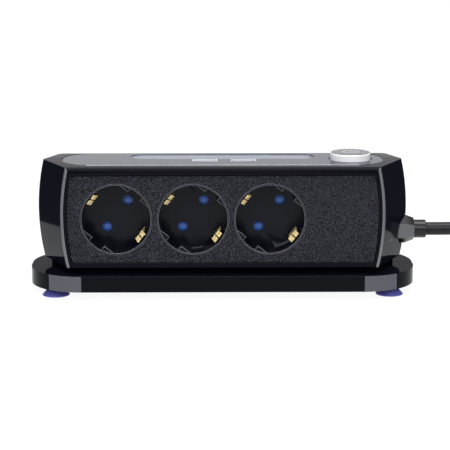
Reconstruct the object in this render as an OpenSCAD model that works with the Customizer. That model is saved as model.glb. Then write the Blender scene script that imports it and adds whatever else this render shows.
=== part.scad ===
// Desk power strip: three earthed sockets with child shutters, two charging ports, a push switch,
// a pen and phone trough, a wide base on four suction cups, and a mains lead with its plug.
// +X runs along the strip towards the lead, -Y is the socket side, +Z is up, and z = 0 is the desk.

/* [Body] */
// Length of the body from end ridge to end ridge
body_len = 208; // [190:1:250]
// Length of the front face at mid height
front_len = 178; // [168:1:215]
// Depth of the body from front to back
body_depth = 59; // [57:1:71]
// Height of the body
body_h = 56.2; // [54:0.1:67]
// How much each end draws in at the top and bottom edges
end_sag = 3.2; // [1:0.1:4]
// How far each end draws in from the ridge to the back
back_set = 12; // [11:0.5:14]
// Radius of the long edges at the back
back_edge_r = 11.5; // [6:0.5:12]
// Radius of the upright corners at the back
back_corner_r = 42; // [24:1:42]
// Wall of the two shells
wall = 3; // [2.4:0.1:3.2]
// Thickness of the front wall that the panel sits in
front_wall = 4.5; // [4:0.1:5]

/* [Base] */
// Length of the base
base_len = 216.5; // [214:0.5:262]
// Depth of the base
base_depth = 68; // [64:1:82]
// Thickness of the base
base_t = 9; // [8:0.5:12]
// Radius of the base's corners
base_corner_r = 30; // [20:1:31]
// Wall of the base
base_wall = 2.4; // [2:0.1:3]
// Thickness of the base's bottom cover
base_cover_t = 2; // [1.6:0.1:2.4]
// Height of the neck between the base and the body
neck_h = 3.8; // [3:0.1:6]
// How far the neck stands in from the body's lower edge
neck_inset = 3; // [2:0.5:6]

/* [Suction cups] */
// Diameter of each cup at the desk
cup_d = 15.5; // [12:0.5:18]
// Height of each cup below the base
cup_h = 5; // [4:0.5:7]
// Distance of the cups from the middle, along the strip
cup_x = 93.5; // [85:0.5:96]
// Distance of the cups from the middle, front to back
cup_y = 18; // [14:0.5:20]

/* [Front panel] */
// Width of the gloss frame left and right of the panel
panel_side = 3.2; // [3:0.1:6]
// Width of the gloss frame above the panel
panel_above = 4.8; // [4:0.1:5]
// Width of the gloss frame below the panel
panel_below = 3; // [2.8:0.1:4]
// Thickness of the panel
panel_t = 2; // [1.6:0.1:2.2]
// How far the panel's face sits behind the frame
panel_drop = 0.4; // [0.2:0.1:0.6]
// Radius of the panel's corners
panel_r = 2; // [1:0.5:5]

/* [Sockets] */
// Number of sockets
socket_count = 3; // [1:1:3]
// Distance from one socket to the next
socket_pitch = 42.4; // [41.6:0.1:44]
// Place of the first socket along the strip
socket_x1 = -58.9; // [-60:0.1:-57]
// Inner radius of the round recess
dish_r = 19; // [18.8:0.1:19.2]
// Wall of the recess
dish_wall = 1; // [0.8:0.1:1.2]
// Depth of the recess
dish_depth = 17.5; // [17:0.1:17.8]
// Thickness of the recess floor
floor_t = 1.4; // [1.2:0.1:1.6]
// Slant of the line through the two pin holes
pin_angle = 52; // [0:1:90]
// Distance between the two pin holes
pin_spacing = 19; // [19:0.1:19.2]
// Diameter of each pin hole
pin_hole_d = 5.4; // [5.2:0.1:5.8]
// Distance of the guide shoulders from the socket's middle
shoulder_dist = 16; // [15.8:0.1:17]
// Width of the notch in each guide shoulder
notch_w = 8.2; // [6:0.1:9]

/* [Contacts] */
// Outer diameter of a contact sleeve
sleeve_d = 7; // [6.6:0.1:7.4]
// Bore of a contact sleeve
sleeve_bore_d = 4.9; // [4.8:0.1:5]
// Thickness of the brass strips
strip_t = 0.8; // [0.6:0.1:1]
// Width of the earth strip
earth_w = 6.4; // [5:0.1:7]

/* [Top] */
// Length of the top inlay
inlay_len = 180; // [170:1:190]
// Front edge of the inlay, ahead of the middle
inlay_front = 21; // [20:0.5:23]
// Back edge of the inlay, behind the middle
inlay_back = 18; // [17.5:0.5:19]
// Corner radius of the inlay
inlay_r = 17; // [8:1:19]
// Thickness of the inlay
inlay_t = 1.6; // [1.4:0.1:1.8]
// Length of the trough
trough_len = 104; // [80:1:112]
// Width of the trough
trough_w = 14; // [10:0.5:14.5]
// Depth of the trough
trough_d = 4.6; // [4.4:0.1:5]

/* [Charging ports] */
// Opening of a port, along the strip
usb_w = 12.5; // [12.4:0.1:12.6]
// Opening of a port, front to back
usb_h = 5.1; // [5:0.1:5.2]
// Thickness of the port's metal
usb_wall = 0.35; // [0.3:0.05:0.4]
// Places of the two ports along the strip
usb_xs = [-9.9, 11.6];
// Place of the ports ahead of the middle
usb_y = -6.4; // [-8:0.1:-6]

/* [Push button] */
// Diameter of the button
button_d = 22.8; // [20:0.1:26]
// Height of the button above the top face
button_proud = 3.8; // [3:0.1:6]
// Gap around the button
button_gap = 0.7; // [0.4:0.1:1]
// Travel of the button
button_travel = 2; // [1:0.1:3]
// Place of the button along the strip
button_x = 72; // [70:0.5:74]

/* [Lead] */
// Diameter of the lead
cord_d = 7.4; // [7:0.1:7.6]
// Height of the lead's way out above the desk
gland_z = 33.5; // [32:0.5:36]
// Width across the corners of the gland nut
gland_d = 16.4; // [16:0.1:18]
// Width across the corners at the nut's outer end
gland_end_d = 12.6; // [12:0.1:14]
// Diameter of the strain relief where it shows
relief_d = 10.3; // [9.8:0.1:10.8]
// Length of each straight run of the stored hank
hank_run = 78; // [70:1:90]

/* [Hidden] */
$fn = 64;

// Colours
gloss_black = [0.03, 0.03, 0.04];
panel_grey = [0.11, 0.11, 0.13];
dish_black = [0.05, 0.05, 0.06];
shutter_blue = [0.10, 0.22, 0.62];
cup_blue = [0.30, 0.30, 0.80];
brass = [0.80, 0.62, 0.30];
silver = [0.80, 0.80, 0.82];
board_green = [0.05, 0.30, 0.15];
pale_plastic = [0.85, 0.85, 0.82];

// Seats that the panel and the inlay rest on
panel_ledge = 2;
inlay_ledge = 2.5;

// Levels
fit = 0.15;
base_z = cup_h;
neck_z = base_z + base_t;
body_z = neck_z + neck_h;
mid_z = body_z + body_h / 2;
top_z = body_z + body_h;
front_y = -body_depth / 2;
back_y = body_depth / 2;
roof_z = top_z - wall;
floor_z = body_z + wall;

// Sockets: heights along the socket axis count from the middle plane towards the front
socket_z = mid_z - 0.85;
rim_at = -front_y - panel_drop;
floor_at = rim_at - dish_depth;
floor_back = floor_at - floor_t;
flange_at = -front_y - front_wall;
flange_t = 2;
flange_h = 46;
shutter_gap = 0.3;
shutter_t = 2;
shutter_top = floor_back - shutter_gap;
shutter_bottom = shutter_top - shutter_t;
spring_wire = 0.7;
skirt_r = 14;
skirt_wall = 1.2;
bow_top = shutter_bottom - 1.3;
bow_bottom = bow_top - strip_t;
rail_bottom = bow_bottom - strip_t;
carrier_depth = 12.9;
carrier_front = rail_bottom;
carrier_back = carrier_front - carrier_depth;
carrier_h = 30;
carrier_z = socket_z - 17.5;
rail_cover_t = 3;
rail_t = 1;
rail_h = 8;
pole_dz = pin_spacing / 2 * sin(pin_angle);
pole_dx = pin_spacing / 2 * cos(pin_angle);
sockets_mid = socket_x1 + socket_pitch;
carrier_len = 2 * socket_pitch + 38;
arm_r = 16.6;
arm_slot = 2;
pillar_dz = [-14, 9];
pillar_r = 2.2;
carrier_screw_dz = [-14, 0];
carrier_screw_len = 10;
rail_end_x = socket_x1 + 2 * socket_pitch + 24;

// Shell fastening: posts run front to back
low_post_z = body_z + 7;
high_post_z = top_z - 9.2;
low_posts = [for (x = [socket_x1 - 24.6, sockets_mid + 69, button_x + 8]) [x, low_post_z]];
high_posts = [for (x = [socket_x1 - 24.6, sockets_mid + 69, button_x + 16.5]) [x, high_post_z]];
post_r = 3;
screw_r = 1.45;
head_r = 2.7;
head_h = 2;
head_y = back_y - wall - 11;

// Base fastening: screws run upwards
base_screw_xs = [sockets_mid - socket_pitch / 2, 60];
base_screw_y = 9;
base_post_top = carrier_z - 0.4;

// Charging boards
port_board_z = top_z - 13.6;
board_t = 1.6;
port_board = [68, 23];
port_board_y = 2.4;
converter_y = -carrier_back + rail_cover_t + 3;
converter = [90, 32];
converter_z = carrier_z - 2;

// Switch
switch_size = [20, 20, 18];
switch_z = top_z - 34;
stem_r = 2;
button_r = button_d / 2;
guide_r = button_r + button_gap / 2;
guide_wall = 1.5;
pedestal_xs = [button_x - 1, button_x + 7];
pedestal_y = 7;

// Lead
cord_r = cord_d / 2;
ridge_x = body_len / 2;
gland_seat_x = ridge_x - 5;
gland_taper_x = ridge_x - 0.4;
gland_end_x = ridge_x + 4.5;
relief_end_x = ridge_x + 11.4;
relief_start_x = ridge_x - 16;
gland_barrel_r = 6.8;
gland_bore_r = 6.2;
cable_join_x = gland_seat_x;
cable_end_x = button_x - 2;
clamp_x = button_x + 12.5;
clamp_size = [6, 20, 6];

// The lead's route on the way to the hank, and from the hank to the plug
lead_points = [
    [cable_join_x, 0, gland_z], [107, 0, 33.5], [115, 0, 33.5], [123, 0, 33.5], [131, 0, 33.5],
    [141, 1, 32.5], [150, 4, 30], [159, 10, 25.5], [167, 15.5, 19.5], [175, 19.5, 13],
    [184, 21.5, 8], [194, 22, 5], [205, 22, 3.7]
];
plug_lead_points = [
    [175, -8, 18.5], [177.5, 3.5, 18.5], [184, 13, 18.5], [193.5, 19.5, 18.5], [205, 22, 18.5],
    [217, 21.5, 18.5], [229, 19, 18.5], [241, 16, 18.5], [253, 14.5, 18.5], [268, 14.5, 18.5],
    [284, 14.5, 18.5], [301, 14.5, 18.5], [319, 14.5, 18.5]
];
hank_x = 205;
hank_y = -8;
hank_inner_r = 22.5;
hank_pitch = 7.5;
hank_layers = 2;
plug_x = 319;
plug_y = 14.5;
plug_z = 18.5;
plug_r = 18.5;
plug_relief = 18;
plug_body = 36;
pin_len = 19;
pin_r = 2.4;
pin_root_r = 1.9;
pin_root = 8;
pin_lift = 0.3;
pin_tip = 1;
tie_w = 12;
tie_t = 1;

wire_r = 1.2;
live_in_points = [[70, -1.6, 34.6], [66, -2.2, 35], [63.5, -3, 36.5], [63.8, -4, 38.4], [66, -5, 40]];
live_out_points = [[66, 5, 40], [63.5, 5.4, 37.6], [59.5, 6, 38.5], [57, 7, 44], [54, 8, 50], [50, 8.4, 52.4]];
neutral_points = [[70, 1.6, 34.6], [65, 2.4, 33.4], [60, 4, 33], [55, 6.4, 35], [50, 8.2, 37.4]];
earth_points = [[70, 0, 32], [64, -1.4, 31.6], [58, -3.4, 34], [54, -4.6, 39], [50, -5, 44]];

// ---- Outlines and sweeps ----

function arc(cx, cy, r, from, to, steps) =
    [for (i = [0:steps]) let (a = from + (to - from) * i / steps) [cx + r * cos(a), cy + r * sin(a)]];

// A rectangle with rounded corners, about its own middle
function rounded_box(w, d, r, steps = 12) = concat(
    arc(w / 2 - r, d / 2 - r, r, 0, 90, steps),
    arc(r - w / 2, d / 2 - r, r, 90, 180, steps),
    arc(r - w / 2, r - d / 2, r, 180, 270, steps),
    arc(w / 2 - r, r - d / 2, r, 270, 360, steps)
);

// Slant of the end faces behind the ridges
function back_slant() = atan2(back_set, body_depth / 2);

// Place along the strip of the middle of the upright corners' rounding
function body_centre_x() = body_len / 2 - back_set - back_corner_r * tan((90 - back_slant()) / 2);

// Direction from the middle of that rounding to where it passes the ridges
function corner_start() = asin(max(0, back_corner_r - back_y) / back_corner_r);

// The body seen from above, at mid height: a slanted end in front of each ridge
function body_plan() =
    let (right = arc(body_centre_x(), back_y - back_corner_r, back_corner_r, back_slant(), 90, 16))
    concat(
        [[-front_len / 2, front_y], [front_len / 2, front_y], [body_len / 2, 0]],
        right,
        [for (i = [len(right) - 1:-1:0]) [-right[i][0], right[i][1]]],
        [[-body_len / 2, 0]]
    );

// Half the front face's length, a height dz from mid height
function front_half(dz) = front_len / 2 - end_sag * pow(dz / (body_h / 2), 2);

function unit(v) = v / norm(v);
function along(p, i) = unit(p[min(i + 1, len(p) - 1)] - p[max(i - 1, 0)]);

// A point of the smooth curve through the points p, a share t past point i
function curve_point(p, i, t) =
    let (
        a = p[max(i - 1, 0)],
        b = p[i],
        c = p[min(i + 1, len(p) - 1)],
        d = p[min(i + 2, len(p) - 1)]
    )
    0.5 * (2 * b + (c - a) * t + (2 * a - 5 * b + 4 * c - d) * t * t + (3 * b - a - 3 * c + d) * t * t * t);

function curve(p, steps) = concat(
    [for (i = [0:len(p) - 2]) for (k = [0:steps - 1]) curve_point(p, i, k / steps)],
    [p[len(p) - 1]]
);

function ring(centre, dir, r, sides, up) =
    let (u = unit(cross(dir, up)), v = cross(u, dir))
    [for (k = [0:sides - 1]) centre + r * (cos(360 * k / sides) * u + sin(360 * k / sides) * v)];

// A round tube that follows the points
module tube(points, r, sides = 8, steps = 1, up = [0, 0, 1]) {
    path = curve(points, steps);
    n = len(path);
    rings = [for (i = [0:n - 1]) each ring(path[i], along(path, i), r, sides, up)];
    walls = [
        for (i = [0:n - 2]) for (k = [0:sides - 1])
            let (a = i * sides + k, b = i * sides + (k + 1) % sides) each [[a, b, b + sides], [a, b + sides, a + sides]]
    ];
    first = [[for (k = [sides - 1:-1:0]) k]];
    last = [[for (k = [0:sides - 1]) (n - 1) * sides + k]];
    polyhedron(points = rings, faces = concat(first, walls, last), convexity = 4);
}

module stadium(l, w) {
    square([l - w, w], center = true);
    for (s = [-1, 1]) translate([s * (l - w) / 2, 0]) circle(d = w);
}

// ---- Shared forms ----

// A cylinder whose side is the bulged face from p to q, seen from above
module end_barrel(p, q, inset) {
    dir = unit(q - p);
    out = [dir[1], -dir[0]];
    sag = end_sag * out[0];
    r = (pow(body_h / 2, 2) + sag * sag) / (2 * sag);
    centre = (p + q) / 2 - out * r;
    translate([centre[0], centre[1], mid_z]) rotate([0, 0, atan2(dir[1], dir[0])]) rotate([0, 90, 0])
        cylinder(r = r - inset, h = 3 * body_len, center = true, $fn = 360);
}

// The body's outline from the side, about mid height, drawn in by inset
module body_side(inset) {
    reach = body_depth / 2 - inset;
    half_h = body_h / 2 - inset;
    edge = arc(back_y - back_edge_r, body_h / 2 - back_edge_r, back_edge_r - inset, 0, 90, 10);
    polygon(concat(
        [[-reach, half_h], [-reach, -half_h]],
        [for (i = [len(edge) - 1:-1:0]) [edge[i][0], -edge[i][1]]],
        edge
    ));
}

// The body with the end faces of one side, -1 for the front and 1 for the back, carried past the ridges
module body_volume(inset, side) {
    ridge = [body_len / 2, 0];
    back_end = [body_len / 2 - back_set, back_y];
    far = body_len / 2 + 10;
    loose = 0.4;
    corner = arc(body_centre_x() + loose, back_y - back_corner_r + loose, back_corner_r, corner_start(), 90, 16);
    intersection() {
        translate([0, 0, body_z - 1]) linear_extrude(body_h + 2) offset(delta = -inset) polygon(concat(
            [[-far, front_y - 5], [far, front_y - 5], [far, 0]],
            corner,
            [for (i = [len(corner) - 1:-1:0]) [-corner[i][0], corner[i][1]]],
            [[-far, 0]]
        ));
        translate([-body_len, 0, mid_z]) rotate([90, 0, 90]) linear_extrude(2 * body_len) body_side(inset);
        end_barrel(side < 0 ? [front_len / 2, front_y] : ridge, side < 0 ? ridge : back_end, inset);
        mirror([1, 0, 0]) end_barrel(side < 0 ? [front_len / 2, front_y] : ridge, side < 0 ? ridge : back_end, inset);
    }
}

// The panel's outline, seen from the front about the panel's middle, wider by grow all round
module panel_outline(grow) {
    low = panel_below - body_h / 2;
    high = body_h / 2 - panel_above;
    right = [for (i = [0:10]) let (dz = low + (high - low) * i / 10) [front_half(dz) - panel_side, dz]];
    left = [for (i = [len(right) - 1:-1:0]) [-right[i][0], right[i][1]]];
    offset(delta = grow) offset(r = panel_r) offset(delta = -panel_r) polygon(concat(right, left));
}

module front_cut(from_y, to_y) {
    translate([0, to_y, mid_z]) rotate([90, 0, 0]) linear_extrude(to_y - from_y) children();
}

module inlay_outline(inset) {
    translate([0, (inlay_back - inlay_front) / 2])
        polygon(rounded_box(inlay_len - 2 * inset, inlay_front + inlay_back - 2 * inset, inlay_r - inset));
}

// A socket's own frame: its axis along z towards the front, and x along its two pin holes
module at_socket(i) {
    translate([socket_x1 + i * socket_pitch, 0, socket_z]) rotate([90, 0, 0]) children();
}

module along_pins() { rotate([0, 0, pin_angle]) children(); }

module at_posts() {
    for (p = concat(low_posts, high_posts)) translate([p[0], 0, p[1]]) rotate([-90, 0, 0]) children();
}

module at_base_screws(ys) {
    for (x = base_screw_xs) for (y = ys) translate([x, y, 0]) children();
}

module at_gland() { translate([0, 0, gland_z]) rotate([0, 90, 0]) children(); }

// The room that the gland takes out of both shells
module gland_cut() {
    at_gland() {
        translate([0, 0, gland_seat_x]) cylinder(r = gland_d / 2 + 0.3, h = 20);
        translate([0, 0, ridge_x - 20]) cylinder(r = gland_barrel_r + 0.1, h = 30);
    }
}

module top_cuts() {
    translate([0, 0, top_z - inlay_t]) linear_extrude(inlay_t + 1) offset(delta = fit) inlay_outline(0);
    translate([0, 0, roof_z - 1]) linear_extrude(wall + 2) inlay_outline(inlay_ledge);
}

// ---- Base ----

module base_plate() color(gloss_black) {
    difference() {
        translate([0, 0, base_z]) linear_extrude(base_t) polygon(rounded_box(base_len, base_depth, base_corner_r));
        translate([0, 0, base_z - 1]) linear_extrude(base_t - base_wall + 1)
            polygon(rounded_box(base_len - 2 * base_wall, base_depth - 2 * base_wall, base_corner_r - base_wall));
        at_base_screws([-base_screw_y, base_screw_y]) cylinder(r = screw_r + 0.1, h = 40);
    }
}

module base_cover() color(gloss_black) {
    gap = base_wall + 0.2;
    difference() {
        translate([0, 0, base_z]) linear_extrude(base_cover_t)
            polygon(rounded_box(base_len - 2 * gap, base_depth - 2 * gap, base_corner_r - gap));
        for (x = [-cup_x, cup_x]) for (y = [-cup_y, cup_y])
            translate([x, y, base_z - 1]) cylinder(r = 3.1, h = base_cover_t + 2);
    }
    for (x = [-cup_x / 2, 0, cup_x / 2]) for (y = [-cup_y, cup_y])
        translate([x, y, base_z + base_cover_t]) cylinder(r = 2.5, h = base_t - base_wall - base_cover_t);
}

module neck() color(gloss_black) {
    difference() {
        translate([0, 0, neck_z]) linear_extrude(neck_h) offset(delta = -neck_inset - end_sag) polygon(body_plan());
        at_base_screws([-base_screw_y, base_screw_y]) cylinder(r = screw_r + 0.1, h = 40);
    }
}

module suction_cup(x, y) color(cup_blue) {
    translate([x, y, 0]) rotate_extrude() polygon([
        [0, 2.2], [3.5, 1.6], [cup_d / 2 - 1, 0], [cup_d / 2, 0], [cup_d / 2, 0.5], [5.4, 3], [4.4, 3.8],
        [4.4, base_z], [3, base_z], [3, base_z + base_cover_t + 0.1], [3.9, base_z + base_cover_t + 0.1],
        [2.6, base_z + base_cover_t + 1.9], [0, base_z + base_cover_t + 1.9]
    ]);
}

// ---- Shells and covers ----

module shell_half(side) {
    depth = body_depth;
    difference() {
        intersection() {
            difference() {
                body_volume(0, side);
                intersection() {
                    body_volume(wall, side);
                    translate([-body_len, front_y + front_wall, 0]) cube([2 * body_len, depth, 2 * top_z]);
                }
            }
            translate([-body_len, side < 0 ? -depth : 0, 0]) cube([2 * body_len, depth, 2 * top_z]);
        }
        top_cuts();
        gland_cut();
        at_base_screws([side * base_screw_y]) cylinder(r = screw_r + 0.1, h = 40);
    }
}

module front_shell() color(gloss_black) {
    difference() {
        union() {
            shell_half(-1);
            intersection() {
                body_volume(wall / 2, -1);
                union() {
                    at_posts() translate([0, 0, front_y + front_wall - 0.5])
                        cylinder(r = post_r, h = -front_y - front_wall + 0.5);
                    at_base_screws([-base_screw_y]) translate([0, 0, floor_z - 0.5])
                        cylinder(r = post_r, h = base_post_top - floor_z + 0.5);
                    for (x = pedestal_xs) translate([x, -pedestal_y, floor_z - 0.5])
                        cylinder(r = 2, h = switch_z - floor_z + 0.5);
                    clamp_foot(-1);
                }
            }
        }
        front_cut(front_y - 1, front_y + panel_drop + panel_t) panel_outline(fit);
        front_cut(front_y - 1, front_y + front_wall + 1) panel_outline(-panel_ledge);
        at_posts() translate([0, 0, -16]) cylinder(r = screw_r, h = 17);
        at_base_screws([-base_screw_y]) cylinder(r = screw_r, h = base_post_top - 1);
        clamp_screw_holes();
    }
}

module rear_shell() color(gloss_black) {
    difference() {
        union() {
            shell_half(1);
            intersection() {
                body_volume(wall / 2, 1);
                union() {
                    at_posts() cylinder(r = post_r, h = back_y - wall + 0.5);
                    at_base_screws([base_screw_y]) translate([0, 0, floor_z - 0.5])
                        cylinder(r = post_r, h = base_post_top - floor_z + 0.5);
                    for (x = pedestal_xs) translate([x, pedestal_y, floor_z - 0.5])
                        cylinder(r = 2, h = switch_z - floor_z + 0.5);
                    clamp_foot(1);
                }
            }
        }
        at_posts() translate([0, 0, -1]) cylinder(r = screw_r + 0.15, h = back_y);
        at_posts() translate([0, 0, head_y]) cylinder(r = head_r + 0.2, h = back_y);
        at_base_screws([base_screw_y]) cylinder(r = screw_r, h = base_post_top - 1);
        clamp_screw_holes();
    }
}

module clamp_foot(side) {
    y = side * (cord_r + 1 + (clamp_size[1] / 2 - cord_r - 1) / 2);
    translate([clamp_x, y, floor_z - 0.5])
        linear_extrude(gland_z - floor_z + 0.5) square([clamp_size[0], clamp_size[1] / 2 - cord_r - 1], center = true);
}

module clamp_screw_holes() {
    for (s = [-1, 1]) translate([clamp_x, s * 7.2, gland_z - 8]) cylinder(r = 0.9, h = 9);
}

module front_panel() color(panel_grey) {
    difference() {
        front_cut(front_y + panel_drop, front_y + panel_drop + panel_t) panel_outline(0);
        for (i = [0:socket_count - 1]) at_socket(i) translate([0, 0, rim_at - panel_t - 1])
            cylinder(r = dish_r + dish_wall + fit, h = panel_t + 2);
    }
}

module top_inlay() color(gloss_black) {
    trough_y = trough_w / 2;
    difference() {
        union() {
            translate([0, 0, top_z - inlay_t]) linear_extrude(inlay_t) inlay_outline(0);
            translate([0, trough_y, top_z - trough_d - 1.4]) linear_extrude(trough_d + 0.4)
                stadium(trough_len + 2.4, trough_w + 2.4);
        }
        translate([0, trough_y, top_z - trough_d]) linear_extrude(trough_d + 1) stadium(trough_len, trough_w);
        for (x = usb_xs) translate([x, usb_y, top_z]) cube([usb_w + 1, usb_h + 1, 12], center = true);
        translate([button_x, 0, top_z - 5]) cylinder(r = button_r + button_gap, h = 8);
    }
}

// ---- Sockets ----

module socket_dish(i) color(dish_black) at_socket(i) {
    outer = dish_r + dish_wall;
    difference() {
        union() {
            translate([0, 0, floor_back]) cylinder(r = outer, h = rim_at - floor_back);
            translate([0, 0, flange_at - flange_t / 2])
                cube([socket_pitch - 0.4, flange_h, flange_t], center = true);
            translate([0, 0, bow_top]) cylinder(r = skirt_r + skirt_wall, h = floor_at - bow_top);
        }
        translate([0, 0, floor_at]) cylinder(r = dish_r, h = dish_depth + 1);
        translate([0, 0, bow_top - 1]) cylinder(r = skirt_r, h = floor_back - bow_top + 1);
        along_pins() {
            for (s = [-1, 1]) {
                translate([s * pin_spacing / 2, 0, bow_top]) cylinder(d = pin_hole_d, h = dish_depth);
                translate([0, s * (arm_r + 0.5), floor_at]) cube([earth_w + 0.8, arm_slot, 8], center = true);
            }
        }
    }
    along_pins() for (s = [-1, 1]) guide_shoulder(s);
    translate([0, 0, bow_top]) cylinder(r = 1.5, h = floor_at - bow_top - 0.2);
}

// The flat shoulder beside a pin hole, split by its notch
module guide_shoulder(s) {
    low = floor_at - 0.5;
    intersection() {
        translate([0, 0, low]) cylinder(r = dish_r + dish_wall / 2, h = dish_depth - 1);
        for (t = [-1, 1])
            translate([s * (shoulder_dist + 5), t * (notch_w / 2 + 5), low + dish_depth / 2])
                cube([10, 10, dish_depth + 2], center = true);
    }
}

module shutter(i) color(shutter_blue) at_socket(i) along_pins() translate([0, 0, shutter_bottom]) difference() {
    union() {
        for (s = [-1, 1]) translate([s * pin_spacing / 2, 0, 0]) cylinder(r = 3.4, h = shutter_t);
        translate([-pin_spacing / 2, -2.5, 0]) cube([pin_spacing, 5, shutter_t]);
        cylinder(r = 3.6, h = shutter_t);
    }
    translate([0, 0, -1]) cylinder(r = 1.55, h = shutter_t + 2);
}

module shutter_springs() color(silver) for (i = [0:socket_count - 1]) at_socket(i) along_pins() {
    translate([0, 0, (bow_top + shutter_bottom) / 2]) {
        rotate_extrude() translate([2.7, 0]) circle(r = spring_wire / 2);
        translate([2.7, 0, 0]) rotate([-90, 0, 0]) cylinder(r = spring_wire / 2, h = 9);
    }
}

module earth_bow(i) color(brass) at_socket(i) along_pins() {
    finger = (earth_w - 0.8) / 2;
    rotate([90, 0, 90]) {
        translate([0, 0, -earth_w / 2]) linear_extrude(earth_w)
            translate([-arm_r - strip_t, bow_bottom]) square([2 * (arm_r + strip_t), strip_t]);
        for (z = [-earth_w / 2, 0.4]) for (m = [0, 1]) mirror([m, 0, 0])
            translate([0, 0, z]) linear_extrude(finger) polygon([
                [arm_r, bow_bottom], [arm_r + strip_t, bow_bottom], [arm_r + strip_t, floor_at + 8],
                [arm_r - 0.3, floor_at + 11.5], [arm_r + 1.4, floor_at + 15.2], [arm_r + 0.7, floor_at + 15.6],
                [arm_r - 1.2, floor_at + 11.5], [arm_r, floor_at + 7.8]
            ]);
    }
}

module earth_rail() color(brass) {
    from_x = socket_x1 - 6;
    translate([from_x, -bow_bottom, socket_z - 2.5]) cube([rail_end_x - from_x, strip_t, 5]);
}

// A flat rail behind three split contact sleeves, on one side of the socket line
module contact_rail(side) {
    y = -carrier_back;
    from_x = socket_x1 + side * pole_dx - 5;
    translate([from_x, y, socket_z + side * pole_dz - rail_h / 2]) cube([rail_end_x - from_x, rail_t, rail_h]);
    for (i = [0:socket_count - 1])
        translate([socket_x1 + i * socket_pitch + side * pole_dx, 0, socket_z + side * pole_dz]) rotate([90, 0, 0])
            translate([0, 0, carrier_back]) difference() {
                cylinder(d = sleeve_d, h = carrier_depth - 0.9);
                translate([0, 0, 0.5]) cylinder(d = sleeve_bore_d, h = carrier_depth);
                translate([-0.5, 0, 3]) cube([1, sleeve_d, carrier_depth]);
            }
}

module live_rail() color(brass) contact_rail(1);

module neutral_rail() color(brass) contact_rail(-1);

module contact_carrier() color([0.75, 0.72, 0.65]) {
    difference() {
        union() {
            translate([sockets_mid - carrier_len / 2, -carrier_front, carrier_z])
                cube([carrier_len, carrier_depth, carrier_h]);
            for (x = [-26, 26]) translate([x, port_board_y, carrier_z + carrier_h - 1])
                cylinder(r = 2.5, h = port_board_z - carrier_z - carrier_h + 1);
        }
        for (i = [0:socket_count - 1]) for (s = [-1, 1])
            translate([socket_x1 + i * socket_pitch + s * pole_dx, 0, socket_z + s * pole_dz]) rotate([90, 0, 0]) {
                translate([0, 0, carrier_back - 1]) cylinder(d = sleeve_d + 0.3, h = carrier_depth + 0.1);
                translate([0, 0, carrier_front - 2]) cylinder(d = pin_hole_d, h = 4);
            }
        at_carrier_screws() cylinder(r = screw_r, h = carrier_screw_len + 1);
    }
}

// Spacers that hold the carrier off the flanges of the recesses
module carrier_pillars() color(pale_plastic) for (n = [-1, 1]) for (dz = pillar_dz)
    translate([sockets_mid + n * socket_pitch / 2, 0, socket_z + dz]) rotate([90, 0, 0])
        translate([0, 0, carrier_front]) cylinder(r = pillar_r, h = flange_at - flange_t - carrier_front);

// Screws from behind, through the rail cover into the carrier
module at_carrier_screws() {
    for (n = [-1, 1]) for (dz = carrier_screw_dz)
        translate([sockets_mid + n * socket_pitch / 2, -carrier_back, socket_z + dz]) rotate([90, 0, 0])
            translate([0, 0, -0.01]) children();
}

module rail_cover() color([0.75, 0.72, 0.65]) {
    difference() {
        translate([sockets_mid - carrier_len / 2, -carrier_back, carrier_z]) cube([carrier_len, rail_cover_t, carrier_h]);
        for (s = [-1, 1]) {
            from_x = socket_x1 + s * pole_dx - 5.2;
            translate([from_x, -carrier_back - 1, socket_z + s * pole_dz - rail_h / 2 - fit])
                cube([body_len, rail_t + fit + 1, rail_h + 2 * fit]);
        }
        at_carrier_screws() translate([0, 0, -2 * rail_cover_t]) cylinder(r = screw_r + 0.1, h = 4 * rail_cover_t);
    }
}

// ---- Charging ports ----

module usb_shell(x) color(silver) {
    z = port_board_z + board_t;
    difference() {
        union() {
            translate([x - usb_w / 2 - usb_wall, usb_y - usb_h / 2 - usb_wall, z])
                cube([usb_w + 2 * usb_wall, usb_h + 2 * usb_wall, top_z - z + 0.2]);
            translate([x - usb_w / 2 - 0.8, usb_y - usb_h / 2 - 0.8, top_z]) cube([usb_w + 1.6, usb_h + 1.6, 0.3]);
        }
        translate([x - usb_w / 2, usb_y - usb_h / 2, z - 1]) cube([usb_w, usb_h, top_z]);
    }
}

module usb_tongue(x) color(pale_plastic) {
    z = port_board_z + board_t;
    translate([x - usb_w / 2, usb_y - usb_h / 2, z]) cube([usb_w, usb_h, 1.6]);
    translate([x - 5.6, usb_y + 0.3, z]) cube([11.2, 1.9, top_z - z - 0.8]);
}

module usb_port_board() color(board_green)
    translate([-port_board[0] / 2, port_board_y - port_board[1] / 2, port_board_z])
        cube([port_board[0], port_board[1], board_t]);

module converter_board() color(board_green) {
    translate([sockets_mid - converter[0] / 2, converter_y, converter_z]) cube([converter[0], board_t, converter[1]]);
    for (x = [-40, 40]) for (z = [4, converter[1] - 4])
        translate([sockets_mid + x, converter_y + 0.01, converter_z + z]) rotate([90, 0, 0])
            cylinder(r = 2, h = 3);
}

module transformer() color([0.75, 0.65, 0.20]) {
    translate([sockets_mid - 30, converter_y + board_t, converter_z + 8]) {
        cube([18, 2, 15]);
        translate([2, 2, 1]) cube([14, 5, 13]);
        translate([0, 7, 0]) cube([18, 1.5, 15]);
    }
}

module capacitors() color([0.12, 0.12, 0.20])
    for (at = [[0, 10], [12, 10], [24, 20]]) translate([sockets_mid + at[0], converter_y + board_t, converter_z + at[1]])
        rotate([-90, 0, 0]) cylinder(r = 4, h = 8.4);

// ---- Switch ----

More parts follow.
